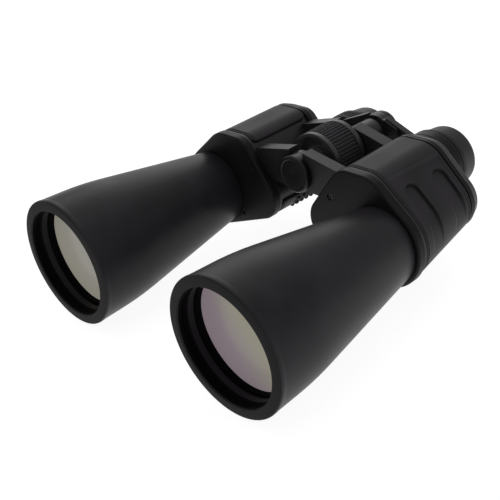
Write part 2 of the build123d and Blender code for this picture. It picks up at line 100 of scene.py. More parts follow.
def grid_mesh(name, points, around=True, along=False):
    """Mesh of a grid of points, one four-sided face between each four neighbours.
    The grid closes on itself in the first direction, and in the second if asked."""
    n, m = points.shape[:2]
    i = np.arange(n if around else n - 1)[:, None]
    j = np.arange(m if along else m - 1)[None, :]
    here, there = i * m, ((i + 1) % n) * m
    step = (j + 1) % m
    faces = np.stack([here + j, there + j, there + step, here + step], -1).reshape(-1, 4)
    mesh = bpy.data.meshes.new(name)
    mesh.from_pydata(points.reshape(-1, 3), [], faces)
    return placed(name, mesh)


SAME_PLACE = 1e-7    # points closer than this, in metres, are one point
CREASE = math.radians(30)


def seal(piece):
    """Joins doubled points, turns every face outwards, and shades smoothly up to the angle
    of a crease."""
    work = bmesh.new()
    work.from_mesh(piece.data)
    bmesh.ops.remove_doubles(work, verts=work.verts, dist=SAME_PLACE)
    bmesh.ops.recalc_face_normals(work, faces=work.faces)
    work.to_mesh(piece.data)
    work.free()
    piece.data.shade_smooth()
    piece.data.set_sharp_from_angle(angle=CREASE)
    return piece


# %% Lathe work
def eased(corners, cut, steps=6):
    """Closed profile with its corners eased. Near a corner C the line is
    (1-t)^2 A + 2t(1-t) C + t^2 B, where A and B lie on its two sides, cut mm from C."""
    c = np.array(corners, float)
    back, on = np.roll(c, 1, 0) - c, np.roll(c, -1, 0) - c
    reach_back, reach_on = np.linalg.norm(back, axis=1), np.linalg.norm(on, axis=1)
    reach = np.minimum(cut, 0.45 * np.minimum(reach_back, reach_on))
    a = c + back * (reach / reach_back)[:, None]
    b = c + on * (reach / reach_on)[:, None]
    t = np.linspace(0, 1, steps)[None, :, None]
    line = (1 - t) ** 2 * a[:, None] + 2 * t * (1 - t) * c[:, None] + t**2 * b[:, None]
    return line.reshape(-1, 2)


def eased_rows(rows):
    """The same, from rows of radius, station and how far that corner is eased."""
    rows = np.array(rows, float)
    return eased(rows[:, :2], rows[:, 2])


def turned(name, axis, profile, steps=160, relief=None):
    """A closed profile of (radius, station) turned about an axis along Y:
    x = x0 + r cos(u), y = rim + station, z = z0 + r sin(u). relief(u, r, station)
    may add to the radius."""
    r, station = np.asarray(profile, float).T
    u = np.linspace(0, 2 * np.pi, steps, endpoint=False)[:, None]
    r = r[None, :] + (relief(u, r[None, :], station[None, :]) if relief else 0 * u)
    y = np.broadcast_to(RIM_Y + station * MM, r.shape)
    points = np.stack([axis[0] + r * np.cos(u) * MM, y, axis[1] + r * np.sin(u) * MM], -1)
    return seal(grid_mesh(name, points, along=True))


def stands_for(piece, node, material):
    """The piece takes a model piece's place and body, and gets its finish."""
    piece.data.materials.clear()
    piece.data.materials.append(material)
    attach(piece, BODY_OF[node])
    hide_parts(node)
    print(piece.name, len(piece.data.polygons), "faces")
    return piece


# %% [markdown]
# ## Finishes
# Black is never one colour. The barrels have a soft-touch paint with a very fine
# pebble, the castings a harder satin paint, the armour a grained rubber, and the inside
# of the lens recess a dead matt black. Each finish is built from noise in the piece's
# own space: a slow one that varies colour and gloss, a fine one that gives the grain.
# A painted image of each surface would be the other way, but noise has no seams and no
# size limit. Sharp machined edges are eased in the shading of the frame's own pieces.


# %% A finish from noise
DRIFT_SCALE, DRIFT_DETAIL = 45, 5    # the slow noise: blotches about 2 cm wide
DRIFT_LOW, DRIFT_HIGH = 0.3, 0.7     # most of a noise's values lie between these
GLOSS_SHARE = 0.4                    # gloss drifts by this share of the colour's drift
# painted shade: the near-black that the walls of the finger grooves are darkened towards
PAINTED_SHADE_BLACK = (0.001, 0.001, 0.001, 1)
EDGE_SAMPLES = 6


def finish(name, colour, rough, grain_size, grain, vary=0.25, metallic=0.0, specular=0.5,
           edge=0.0, stretch=(1, 1, 1), cells=False, painted_shade=False):
    """A node material. grain_size is the pitch of the fine relief and grain its depth, both
    in mm; vary is how far colour and gloss drift; edge is the radius, in mm, by which
    sharp edges look eased; cells gives a pebbled grain in place of a noisy one; the last
    flag paints shade, darkening the colour by the piece's own attribute of painted shade."""
    material = bpy.data.materials.new(name)
    material.use_nodes = True
    tree = material.node_tree
    link = tree.links.new
    shader = tree.nodes["Principled BSDF"]
    shader.inputs["Metallic"].default_value = metallic
    shader.inputs["Specular IOR Level"].default_value = specular

    place = tree.nodes.new("ShaderNodeTexCoord")
    turn = tree.nodes.new("ShaderNodeMapping")
    turn.inputs["Scale"].default_value = stretch
    link(place.outputs["Object"], turn.inputs["Vector"])

    slow = tree.nodes.new("ShaderNodeTexNoise")
    slow.inputs["Scale"].default_value = DRIFT_SCALE
    slow.inputs["Detail"].default_value = DRIFT_DETAIL
    link(turn.outputs["Vector"], slow.inputs["Vector"])
    shades = tree.nodes.new("ShaderNodeValToRGB")
    shades.color_ramp.elements[0].position = DRIFT_LOW
    shades.color_ramp.elements[1].position = DRIFT_HIGH
    shades.color_ramp.elements[0].color = (*[c * (1 - vary) for c in colour], 1)
    shades.color_ramp.elements[1].color = (*[c * (1 + vary) for c in colour], 1)
    link(slow.outputs["Fac"], shades.inputs["Fac"])
    # painted shade: mixes the colour towards near-black by the piece's own attribute of painted shade
    if painted_shade:
        painted_wall_shade = tree.nodes.new("ShaderNodeAttribute")
        painted_wall_shade.attribute_name = "painted_wall_shade"
        darker = tree.nodes.new("ShaderNodeMix")
        darker.data_type = "RGBA"
        darker.inputs["B"].default_value = PAINTED_SHADE_BLACK
        link(painted_wall_shade.outputs["Fac"], darker.inputs["Factor"])
        link(shades.outputs["Color"], darker.inputs["A"])
        link(darker.outputs["Result"], shader.inputs["Base Color"])
    else:
        link(shades.outputs["Color"], shader.inputs["Base Color"])
    gloss = tree.nodes.new("ShaderNodeMapRange")
    gloss.inputs["From Min"].default_value = DRIFT_LOW
    gloss.inputs["From Max"].default_value = DRIFT_HIGH
    gloss.inputs["To Min"].default_value = rough * (1 - vary * GLOSS_SHARE)
    gloss.inputs["To Max"].default_value = rough * (1 + vary * GLOSS_SHARE)
    link(slow.outputs["Fac"], gloss.inputs["Value"])
    link(gloss.outputs["Result"], shader.inputs["Roughness"])

    fine = tree.nodes.new("ShaderNodeTexVoronoi" if cells else "ShaderNodeTexNoise")
    fine.inputs["Scale"].default_value = 1 / (grain_size * MM)
    link(turn.outputs["Vector"], fine.inputs["Vector"])
    bump = tree.nodes.new("ShaderNodeBump")
    bump.inputs["Strength"].default_value = 1.0
    bump.inputs["Distance"].default_value = grain * MM
    link(fine.outputs["Distance" if cells else "Fac"], bump.inputs["Height"])
    if edge:
        soft = tree.nodes.new("ShaderNodeBevel")
        soft.samples = EDGE_SAMPLES
        soft.inputs["Radius"].default_value = edge * MM
        link(soft.outputs["Normal"], bump.inputs["Normal"])
    link(bump.outputs["Normal"], shader.inputs["Normal"])
    return material


# %% The finishes used here
barrel_paint = finish("soft_touch_paint", (0.0150, 0.0134, 0.0158), 0.40, 0.35, 0.005,
                      specular=0.14)
rim_paint = finish("matt_rim_paint", (0.0110, 0.0102, 0.0112), 0.55, 0.35, 0.006, specular=0.06)
casting_paint = finish("satin_casting_paint", (0.014, 0.014, 0.0145), 0.38, 0.45, 0.009,
                       specular=0.3, edge=0.45)
cover_paint = finish("satin_cover_paint", (0.0070, 0.0067, 0.0072), 0.40, 0.40, 0.007,
                     specular=0.12, edge=0.3)
wheel_paint = finish("satin_wheel_paint", (0.030, 0.029, 0.031), 0.34, 0.35, 0.005,
                     specular=0.35)
dead_black = finish("matt_recess_black", (0.0012, 0.0012, 0.0013), 0.60, 0.4, 0.010,
                    specular=0.05)
# the armour's colour carries painted shade on the walls of its finger grooves
armour_rubber = finish("grained_armour_rubber", (0.0230, 0.0208, 0.0232), 0.45, 0.55, 0.018,
                       specular=0.12, cells=True, painted_shade=True)
grip_rubber = finish("ribbed_grip_rubber", (0.0340, 0.0315, 0.0350), 0.45, 0.4, 0.010,
                     specular=0.2)
cup_rubber = finish("soft_cup_rubber", (0.0190, 0.0176, 0.0192), 0.45, 0.4, 0.010, specular=0.2)
cap_plastic = finish("moulded_cap_plastic", (0.0060, 0.0058, 0.0062), 0.35, 0.5, 0.006,
                     specular=0.25)

LATHE_MARKS = (1, 6, 1)    # squeezes the grain along the axis, so it runs around
bare_aluminium = finish("turned_aluminium", (0.62, 0.62, 0.63), 0.30, 0.6, 0.004, 0.08, 1.0,
                        edge=0.2, stretch=LATHE_MARKS)
bright_steel = finish("ground_steel", (0.48, 0.47, 0.46), 0.26, 0.5, 0.003, 0.1, 1.0,
                      edge=0.2, stretch=LATHE_MARKS)
turned_brass = finish("turned_brass", (0.62, 0.42, 0.17), 0.30, 0.5, 0.004, 0.12, 1.0,
                      edge=0.2, stretch=LATHE_MARKS)
spring_steel = finish("spring_steel_strip", (0.36, 0.36, 0.37), 0.34, 0.7, 0.003, 0.1, 1.0,
                      edge=0.1)
screw_black = finish("blackened_screw_steel", (0.020, 0.020, 0.021), 0.33, 0.5, 0.004, edge=0.15)
print(len(bpy.data.materials), "materials in the scene")

# %% [markdown]
# ### Coated glass
# A front lens is clear, but what is seen of it is its coating: a dim mirror whose tint
# slides from mauve to yellow-green over the dish. A clear shader alone would only show
# the dark barrel behind, and a plain mirror only the dark recess in front. So the tinted
# reflection is painted on as an even glow: a smooth surface gives off a little light in
# the tint, which follows the place on the lens, so it stays put when the camera moves.
# The lens glows though it is no lamp.


# %% Coated glass
GLASS_BASE = (0.050, 0.046, 0.050, 1)
TINT_LINE = (0.85, 0, 0.5)       # the way the tint slides over the dish
WAVE_SCALE, WAVE = 30, 0.010     # a slow waver, in metres, of the line where tints meet


def coated_glass(name, tint_a, tint_b, centre, reach, glow):
    """A dim, evenly glowing dish: painted reflection, the coating's tinted reflection given
    off as light. Its colour goes from tint_a to tint_b across the lens, along a slanted
    line through its centre; reach is half the distance."""
    material = bpy.data.materials.new(name)
    material.use_nodes = True
    tree = material.node_tree
    link = tree.links.new
    shader = tree.nodes["Principled BSDF"]
    shader.inputs["Base Color"].default_value = GLASS_BASE
    shader.inputs["Roughness"].default_value = 0.25
    shader.inputs["Specular IOR Level"].default_value = 0.08
    # painted reflection: the dish glows in the coating's tint, though it is no lamp
    shader.inputs["Emission Strength"].default_value = glow
    place = tree.nodes.new("ShaderNodeTexCoord")
    turn = tree.nodes.new("ShaderNodeMapping")
    turn.inputs["Location"].default_value = (-centre[0], 0, -centre[1])
    slope = tree.nodes.new("ShaderNodeVectorMath")
    slope.operation = "DOT_PRODUCT"
    slope.inputs[1].default_value = TINT_LINE
    wave = tree.nodes.new("ShaderNodeTexNoise")
    wave.inputs["Scale"].default_value = WAVE_SCALE
    wave.inputs["Detail"].default_value = 0
    mix = tree.nodes.new("ShaderNodeMath")
    mix.operation = "MULTIPLY_ADD"
    mix.inputs[1].default_value = WAVE
    spread = tree.nodes.new("ShaderNodeMapRange")
    spread.inputs["From Min"].default_value = -reach + WAVE / 2
    spread.inputs["From Max"].default_value = reach + WAVE / 2
    ramp = tree.nodes.new("ShaderNodeValToRGB")
    ramp.color_ramp.interpolation = "EASE"
    ramp.color_ramp.elements[0].color = (*tint_a, 1)
    ramp.color_ramp.elements[1].color = (*tint_b, 1)
    link(place.outputs["Object"], turn.inputs["Vector"])
    link(turn.outputs["Vector"], slope.inputs[0])
    link(turn.outputs["Vector"], wave.inputs["Vector"])
    link(wave.outputs["Fac"], mix.inputs[0])
    link(slope.outputs["Value"], mix.inputs[2])
    link(mix.outputs["Value"], spread.inputs["Value"])
    link(spread.outputs["Result"], ramp.inputs["Fac"])
    link(ramp.outputs["Color"], shader.inputs["Emission Color"])
    return material


# %% Clear glass for the inner lenses and prisms
clear_glass = bpy.data.materials.new("clear_optical_glass")
clear_glass.use_nodes = True
glass_shader = clear_glass.node_tree.nodes["Principled BSDF"]
glass_shader.inputs["Transmission Weight"].default_value = 1.0
glass_shader.inputs["Roughness"].default_value = 0.02
glass_shader.inputs["IOR"].default_value = 1.52
glass_noise = clear_glass.node_tree.nodes.new("ShaderNodeTexNoise")
glass_noise.inputs["Scale"].default_value = 20
glass_tint = clear_glass.node_tree.nodes.new("ShaderNodeValToRGB")
glass_tint.color_ramp.elements[0].color = (0.90, 0.95, 0.92, 1)
glass_tint.color_ramp.elements[1].color = (0.96, 0.98, 0.97, 1)
clear_glass.node_tree.links.new(glass_noise.outputs["Fac"], glass_tint.inputs["Fac"])
clear_glass.node_tree.links.new(glass_tint.outputs["Color"], glass_shader.inputs["Base Color"])
print("clear glass: refractive index", round(glass_shader.inputs["IOR"].default_value, 2))

# %% [markdown]
# ## The frame's own pieces
# Castings, covers, arms and everything inside have their true shape in the model. They
# could be built again here with finer edges, but eased shading gives the same look at no
# cost, so they keep their shape and only get a finish, chosen by their slot.

# %% Finish the carried-over pieces
FINISH_OF = {
    "barrel_coating": barrel_paint, "body_coating": casting_paint,
    "collar_coating": cover_paint, "wheel_coating": wheel_paint, "inner_black": dead_black,
    "armour_rubber": armour_rubber, "eyecup_rubber": cup_rubber, "cap_plastic": cap_plastic,
    "coated_glass": clear_glass, "clear_glass": clear_glass,
    "bare_aluminium": bare_aluminium, "steel": bright_steel, "black_steel": screw_black,
    "brass": turned_brass}
for name, node in nodes.items():
    node.data.materials.clear()
    node.data.materials.append(FINISH_OF[SLOT_OF[name]])
for tag, _ in SIDES:
    nodes[f"{tag}_front_cover"].data.materials[0] = cover_paint
    nodes[f"{tag}_rear_cover"].data.materials[0] = cover_paint
    for prism in ("objective", "eyepiece"):
        nodes[f"{tag}_{prism}_prism_strap"].data.materials[0] = spring_steel
print(len(nodes), "pieces of the frame finished")

# %% [markdown]
# ## Objective barrels
# Each barrel is one long cone, spun or cast and then turned, with a thick flat rim. Inside
# the rim come two turns of thread, a dark channel that kills stray light, and a smooth
# band in front of the ring that holds the lens. A lathe profile gives all of it.

# %% Barrels
RIM_R, SHOULDER_R, NECK_R = 36.3, 35.1, 22.0
SHOULDER_ST, NECK_ST = 28.0, 110.0
barrel_line = eased_rows([
    (30.4, 0.0, 0.25), (30.7, -0.7, 0.4), (35.9, -0.3, 0.4),         # flat of the rim
    (RIM_R, 0.3, 0.4), (RIM_R, 1.6, 0.5), (36.05, 3.0, 0.6),         # outside of the rim
    (SHOULDER_R, SHOULDER_ST, 12), (NECK_R, NECK_ST, 0.2),           # cone
    (20.5, NECK_ST, 0.2), (20.5, 115.2, 0.3), (18.8, 115.2, 0.3),    # spigot in the cover
    (18.8, 108.5, 1), (31.8, 31.5, 1),                               # inside of the cone
    (28.8, 29.5, 0.3), (28.8, 27.0, 0.3),                            # shelf behind the lens
    (30.2, 27.0, 0.2), (30.2, 9.6, 0.05),                            # seat of lens and ring
    (30.42, 9.4, 0.05), (30.42, 5.9, 0.2),                           # smooth band
    (31.0, 5.4, 0.2), (31.0, 2.6, 0.2), (30.5, 2.4, 0.1)])           # channel
THREAD_R, THREAD_DEPTH, THREAD_PITCH = 30.44, 0.3, 0.8
THREAD_FIRST, THREAD_LAST = 0.7, 2.3
thread_st = np.linspace(THREAD_LAST, THREAD_FIRST, 61)
turns = (thread_st - THREAD_FIRST) / THREAD_PITCH
thread_r = THREAD_R + THREAD_DEPTH * (0.5 + 0.5 * np.cos(2 * np.pi * turns))
barrel_line = np.concatenate([barrel_line, np.stack([thread_r, thread_st], 1)])
for tag, _ in SIDES:
    barrel = turned(f"{tag}_barrel_shell", LENS_AXIS[tag], barrel_line, 224)
    stands_for(barrel, f"{tag}_objective_barrel", barrel_paint)

# %% [markdown]
# The recess is darker than the outside, because it is sprayed with matt black, and the
# flat of the rim is duller than the cone. More finishes on the faces there, picked by
# their radius and station, do this with one mesh.


# %% Matt black inside the barrels
OUTER_LINE = ([4.0, SHOULDER_ST, NECK_ST], [RIM_R, SHOULDER_R, NECK_R])
WALL, DEEPEST_R = 1.5, 32.2          # faces on the inside lie this far in, and no further out
SATIN_BAND = (6.0, 9.3)              # the smooth band keeps its satin paint
RIM_FLAT = (30.6, 36.0, -0.2)        # its radii, and the station that it lies in front of


def blacken_inside(piece, axis, first, last):
    """Gives rim_paint to the rim's flat, and dead_black to faces well inside the barrel's
    outer line, between two stations. A face belongs where its middle lies."""
    mesh = piece.data
    mesh.materials.append(dead_black)
    mesh.materials.append(rim_paint)
    centre = np.zeros(len(mesh.polygons) * 3)
    mesh.polygons.foreach_get("center", centre)
    x, y, z = centre.reshape(-1, 3).T
    r = np.hypot(x - axis[0], z - axis[1]) / MM
    station = (y - RIM_Y) / MM
    outer = np.interp(station, *OUTER_LINE)
    inside = (r < outer - WALL) & (r < DEEPEST_R) & (station > first) & (station < last)
    inside &= ~((station > SATIN_BAND[0]) & (station < SATIN_BAND[1]))
    flat = (station < RIM_FLAT[2]) & (r > RIM_FLAT[0]) & (r < RIM_FLAT[1])
    mesh.polygons.foreach_set("material_index", (inside + 2 * flat).astype(np.int32))
    print(piece.name, int(inside.sum()), "inside faces blackened")


for tag, _ in SIDES:
    blacken_inside(bpy.data.objects[f"{tag}_barrel_shell"], LENS_AXIS[tag], 0.2, 109.5)

# %% [markdown]
# ## Lens rings and lenses
# A black ring with fine steps screws down on the lens edge, with two small notches for
# the tool that turns it. The front surface of the lens is a shallow dome. Cutting the
# notches out with a boolean would work too, but a lathe profile whose radius may change
# with the angle needs no second shape.

# %% Retaining rings
RING_R, RING_FIRST, RING_LAST = 29.32, 10.5, 13.5
RING_STEP, RING_DEPTH = 0.75, 0.30
NOTCH_SINE, NOTCH_END, NOTCH_DEPTH = 0.035, 11.6, 0.55
ring_st = np.linspace(RING_FIRST, RING_LAST, 61)
ring_r = RING_R + RING_DEPTH * np.abs(((ring_st - RING_FIRST) / RING_STEP) % 1 - 0.5)
ring_back = [(29.9, 13.6), (30.2, 13.4), (30.2, 10.6), (30.0, 10.45)]
ring_line = np.concatenate([np.stack([ring_r, ring_st], 1), ring_back])


def notches(u, r, station):
    """Two notches in the front edge, at opposite sides, where |sin(u)| is small: the bore
    is wider there."""
    near = np.abs(np.sin(u)) < NOTCH_SINE
    return np.where(near & (station < NOTCH_END) & (r < 29.8), NOTCH_DEPTH, 0.0)


for tag, _ in SIDES:
    ring = turned(f"{tag}_lens_ring", LENS_AXIS[tag], ring_line, 240, notches)
    stands_for(ring, f"{tag}_lens_retaining_ring", dead_black)

# %% Objective lenses
LENS_R, LENS_ST, LENS_EDGE = 30.1, 13.9, 2.2     # radius, station and thickness at the edge
DOME_R, BACK_R = 120.0, 100.0


def dome(radius, r):
    """Depth of a sphere's surface at r from its axis: R - sqrt(R^2 - r^2)."""
    return radius - np.sqrt(radius**2 - r**2)


lens_r = np.linspace(0, LENS_R, 40)
front_st = LENS_ST - dome(DOME_R, LENS_R) + dome(DOME_R, lens_r)
back_st = LENS_ST + LENS_EDGE + dome(BACK_R, LENS_R) - dome(BACK_R, lens_r[::-1])
lens_line = np.concatenate(
    [np.stack([lens_r, front_st], 1), np.stack([lens_r[::-1], back_st], 1)])
# painted reflection: each lens has its own pair of coating tints, given off as a glow of strength GLOW
TINTS = {"left": ((0.172, 0.140, 0.158), (0.222, 0.215, 0.155)),
         "right": ((0.214, 0.204, 0.168), (0.216, 0.208, 0.184))}
TINT_REACH, GLOW = 0.016, 1.0
for tag, _ in SIDES:
    lens = turned(f"{tag}_front_lens", LENS_AXIS[tag], lens_line, 160)
    glass = coated_glass(f"{tag}_lens_coating_painted_glow", *TINTS[tag], LENS_AXIS[tag], TINT_REACH, GLOW)
    stands_for(lens, f"{tag}_objective_crown_lens", glass)

# %% [markdown]
# ## Rubber armour
# The housings wear a moulded rubber skin. Its outline across the axes is the rubber
# band around four discs, and it tapers towards the back. On the outer shoulder it has a
# sunken panel with two finger grooves; underneath, where a thumb rests, there are rows of
# studs. Sculpting would do it, but a height formula over (distance around, station)
# puts every edge where it belongs on both halves at once.

# %% The outline as a line of points
FRONT_ST, BACK_ST = 115.4, 162.0
SHOULDERS = [(51.0, 20.0, 16.5), (41.5, 24.5, 12.0), (27.5, 2.5, 14.0)]
DISCS_FRONT = np.array([(62.5, 0.0, 24.4), *SHOULDERS])
DISCS_BACK = np.array([(65.2, 4.3, 17.3), *SHOULDERS])
STEP_IN = 0.4    # the front line lies this far inside its discs


def band(discs, shrink, per_arc=60, per_side=30):
    """The rubber band around discs (x, up, radius), anticlockwise, from the inner top
    shoulder: points and outward normals. Two neighbouring discs share the normal angle
    direction(d) - acos((r1 - r2) / |d|), with d from the first centre to the next."""
    c, r = discs[:, :2], discs[:, 2] - shrink
    d = np.roll(c, -1, 0) - c
    angle = np.arctan2(d[:, 1], d[:, 0]) - np.arccos((r - np.roll(r, -1)) / np.hypot(*d.T))
    angle = np.unwrap(angle)
    start = np.roll(angle, 1)
    start[0] -= 2 * np.pi
    arc = start[:, None] + (angle - start)[:, None] * np.linspace(0, 1, per_arc)[None, :]
    normal = np.stack([np.cos(arc), np.sin(arc)], -1)
    on_arc = c[:, None] + r[:, None, None] * normal
    t = np.linspace(0, 1, per_side + 2)[1:-1][None, :, None]
    following = np.roll(on_arc[:, 0], -1, 0)
    on_side = on_arc[:, -1:] * (1 - t) + following[:, None] * t
    side_normal = np.broadcast_to(normal[:, -1:], on_side.shape)
    points = np.concatenate([on_arc, on_side], 1)
    normals = np.concatenate([normal, side_normal], 1)
    shift = 2 * (per_arc + per_side) + per_arc - 1    # begins where the third disc's arc ends
    points = np.roll(points.reshape(-1, 2), -shift, 0)
    normals = np.roll(normals.reshape(-1, 2), -shift, 0)
    return points, normals


line_front, normal_front = band(DISCS_FRONT, STEP_IN)
line_back, normal_back = band(DISCS_BACK, 0.0)
line_middle = (line_front + line_back) / 2
AROUND = np.concatenate([[0], np.cumsum(np.hypot(*np.diff(line_middle, axis=0).T))])
print("outline length", round(AROUND[-1], 1), "mm")


def at_around(values, around):
    """Reads a line's values at distances around, in mm."""
    return np.stack([np.interp(around, AROUND, values[:, k]) for k in range(2)], -1)


def around_of(test_x, test_up):
    """The distance around at which the outline passes nearest to a point."""
    return AROUND[np.argmin(np.hypot(line_middle[:, 0] - test_x, line_middle[:, 1] - test_up))]


# %% The height formula
def smooth(value, low, high):
    """0 below low, 1 above high, and 3t^2 - 2t^3 between."""
    t = np.clip((value - low) / (high - low), 0, 1)
    return t * t * (3 - 2 * t)


RIDGE = around_of(62.3, 32.2)
PANEL_LOW = around_of(86.0, -8.0)
GROOVE_TOP = around_of(66.9, 28.4)
PANEL_FIRST, PANEL_LAST, PANEL_DEPTH = 120.0, 159.6, 0.3
BEAD_OFF, BEAD_HEIGHT = 0.55, 0.3                   # a fine bead just outside the panel
SEAM_ST, SEAM_HALF, SEAM_DEPTH = 119.1, 0.28, 0.9
GROOVES = ((129.4, 4.4), (151.6, 4.9))              # station and half width of each
GROOVE_DEPTH = 1.35
PAD = (around_of(14.3, -2.2), around_of(37.0, -17.0), 129.5, 161.0)
PAD_DEPTH = 0.3
# Each fades in between two distances around from its low end or its top.
PANEL_FADE, GROOVE_FADE, SHADE_FADE = (-6, 10), (-40, -16), (-34, -12)
STUD_PITCH, STUD_R, STUD_HEIGHT = 4.4, 1.6, 1.7


def armour_height(around, station):
    """Height over the plain outline, in mm: a sunken panel inside a fine bead, less a thin
    seam near the front, less two capsule-shaped grooves that fade downwards, plus a sunken
    pad of round studs."""
    across = np.minimum(station - PANEL_FIRST, PANEL_LAST - station)
    down = RIDGE - around
    low_end = smooth(around, PANEL_LOW + PANEL_FADE[0], PANEL_LOW + PANEL_FADE[1])
    within = np.minimum(across, down)
    panel = smooth(within, 0.0, 0.5) * low_end
    bead = np.exp(-((within + BEAD_OFF) / BEAD_OFF) ** 2) * low_end
    seam = np.exp(-((station - SEAM_ST) / SEAM_HALF) ** 2)
    height = -PANEL_DEPTH * panel + BEAD_HEIGHT * bead - SEAM_DEPTH * seam
    for middle_st, half in GROOVES:
        below = GROOVE_TOP - half - around
        reach = np.hypot(station - middle_st, np.minimum(below, 0.0))
        fade = smooth(around, GROOVE_TOP + GROOVE_FADE[0], GROOVE_TOP + GROOVE_FADE[1])
        height = height - GROOVE_DEPTH * smooth(half - reach, -0.05, 0.5) * fade
    low, high, first, last = PAD
    beside = np.minimum(around - low, high - around)
    edge = np.minimum(beside, np.minimum(station - first, last - station))
    height = height - PAD_DEPTH * smooth(edge, -0.3, 0.2)
    du = (around - low) % STUD_PITCH - STUD_PITCH / 2
    dv = (station - first) % STUD_PITCH - STUD_PITCH / 2
    stud = np.sqrt(np.clip(1 - (du**2 + dv**2) / STUD_R**2, 0, 1))
    return height + STUD_HEIGHT * stud * (edge > 0.4)


def groove_shade(around, station):
    """1 on the walls of the finger grooves and 0 elsewhere, fading downwards as they do:
    the amount of painted shade, standing in for the shade that falls on these walls."""
    shade = 0.0
    for middle_st, half in GROOVES:
        below = GROOVE_TOP - half - around
        off = abs(half - 0.25 - np.hypot(station - middle_st, np.minimum(below, 0.0)))
        fade = smooth(around, GROOVE_TOP + SHADE_FADE[0], GROOVE_TOP + SHADE_FADE[1])
        shade = np.maximum(shade, (1 - smooth(off, 0.1, 0.9)) * fade)
    return shade


# %% Grid lines where they are needed
PLAIN_SHARE = 0.35    # how densely lines lie on plain rubber, where 1 is over the detail
FINE = 2000


def spread(first, last, count):
    """Shares of the run from first to last, in mm around: the grid lines lie close together
    over the pad and the grooves, and about three times as far apart elsewhere."""
    places = np.linspace(first, last, FINE)
    detail = (places > PAD[0] - 2) & (places < PAD[1] + 2)
    detail |= (places > GROOVE_TOP - 42) & (places < RIDGE + 3)
    run = np.cumsum(PLAIN_SHARE + (1 - PLAIN_SHARE) * detail)
    return np.interp(np.linspace(run[0], run[-1], count), run, np.linspace(0, 1, FINE))


# %% Mould the armour
CORNER_R, EDGE_R = 5.0, 1.3              # corners seen flat on, and the roll of the edge
EDGE_DROP, DEEPEST, SINK = 1.6, -1.65, 0.1
LINES_AROUND, LINES_ALONG = 430, 112     # keeps each skin under 200,000 triangles
SKIN = 0.1
BARE_FROM = around_of(13.9, -1.0)        # the casting is bare on the inner flank


def armour_skin(name, side, axis, stations, first_around, last_around):
    """Surface P(a, s) = outline(a, s) + height(a, s) normal(a, s), where outline runs evenly
    from the front line to the back line. Its edges roll down to the casting, and its
    corners are rounded by shortening the run around near both ends. No groove goes deeper
    than the casting under it allows."""
    s = stations[None, :]
    from_end = np.minimum(s - stations[0], stations[-1] - s)
    corner = np.clip(1 - from_end / CORNER_R, 0, 1)
    trim = CORNER_R * (1 - np.sqrt(1 - corner**2))
    t = spread(first_around, last_around, LINES_AROUND)[:, None]
    a = (first_around + trim) * (1 - t) + (last_around - trim) * t
    share = ((s - FRONT_ST) / (BACK_ST - FRONT_ST))[..., None] + 0 * a[..., None]
    place = at_around(line_front, a) * (1 - share) + at_around(line_back, a) * share
    normal = at_around(normal_front, a) * (1 - share) + at_around(normal_back, a) * share
    normal = normal / np.linalg.norm(normal, axis=-1, keepdims=True)
    border = np.minimum(a - first_around - trim, last_around - trim - a)
    border = np.minimum(border, from_end + 0 * a)
    roll = np.clip(1 - border / EDGE_R, 0, 1)
    lift = np.maximum(armour_height(a, s + 0 * a), DEEPEST) - SINK
    lift = lift * np.sqrt(1 - roll**2) - EDGE_DROP * (1 - np.sqrt(1 - roll**2))
    place = place + normal * lift[..., None]
    points = np.stack([side * place[..., 0] * MM, np.broadcast_to(RIM_Y + s * MM, a.shape),
                       axis[1] + place[..., 1] * MM], -1)
    piece = grid_mesh(name, points, around=False)
    # painted shade: each point stores how far the finger-groove walls are darkened
    painted_wall_shade = piece.data.attributes.new("painted_wall_shade", "FLOAT", "POINT")
    painted_wall_shade.data.foreach_set("value", groove_shade(a, s + 0 * a).ravel())
    if side > 0:
        piece.data.flip_normals()
    shell = piece.modifiers.new("wall", "SOLIDIFY")
    shell.thickness = SKIN * MM
    shell.offset = -1
    piece.data.shade_smooth()
    return piece


armour_st = np.linspace(117.3, 161.7, LINES_ALONG)
for tag, side in SIDES:
    skin = armour_skin(f"{tag}_armour_skin", side, LENS_AXIS[tag], armour_st,
                       BARE_FROM, AROUND[-1] - 0.5)
    stands_for(skin, f"{tag}_rubber_armour", armour_rubber)

# %% [markdown]
# ## Focus wheel
# The wheel is turned metal with a plain rim at each end. Between them sits a black
# rubber tyre, moulded in rows of little blocks so a cold finger can turn it. One block
# could be modelled and repeated, but a wave around and a wave along give all of them in
# one closed surface.

# %% Wheel
WHEEL_AXIS = (HINGE[0], HINGE[2])
BORE = 6.06
wheel_line = eased(
    [(BORE, 132.6), (9.2, 132.6), (9.2, 135.0), (14.6, 135.0), (14.9, 132.3),     # front face
     (15.2, 132.0), (17.3, 132.0), (17.3, 135.2),                                 # front rim
     (15.9, 135.2), (15.9, 151.3),                                                # tyre bed
     (17.75, 151.3), (17.75, 154.6), (BORE, 154.6),                               # back rim
     (BORE, 149.8), (9.8, 149.8), (9.8, 136.8), (BORE, 136.8)],                   # thread room
    cut=0.55)
wheel = turned("turned_focus_wheel", WHEEL_AXIS, wheel_line, 192)
stands_for(wheel, "focus_wheel", wheel_paint)

# %% Tyre
RIBS, ROWS = 52, 9
RIB_DEPTH, BLOCK_DEPTH = 1.05, 0.6
TYRE_FIRST, TYRE_LAST = 135.35, 151.15
TYRE_R, TYRE_RISE = 17.40, 0.25          # its radius in front, and how much it grows


def block(wave, low, high):
    """A flat-topped hump once per whole number of wave, with sloped flanks: 0 up to low
    from a whole number, and 1 beyond high."""
    return smooth(0.5 - np.abs(wave % 1 - 0.5), low, high)


def tyre_blocks(u, r, station):
    """Grooves between the blocks: the outer surface sinks by RIB_DEPTH between ribs, and by
    BLOCK_DEPTH between the blocks of one rib."""
    ribs = block(u * RIBS / (2 * np.pi), 0.14, 0.34)
    blocks = block((station - 135.6) / 15.3 * ROWS, 0.06, 0.24)
    sunk = -RIB_DEPTH * (1 - ribs) - BLOCK_DEPTH * ribs * (1 - blocks)
    return np.where(r > 16.6, sunk, 0.0)


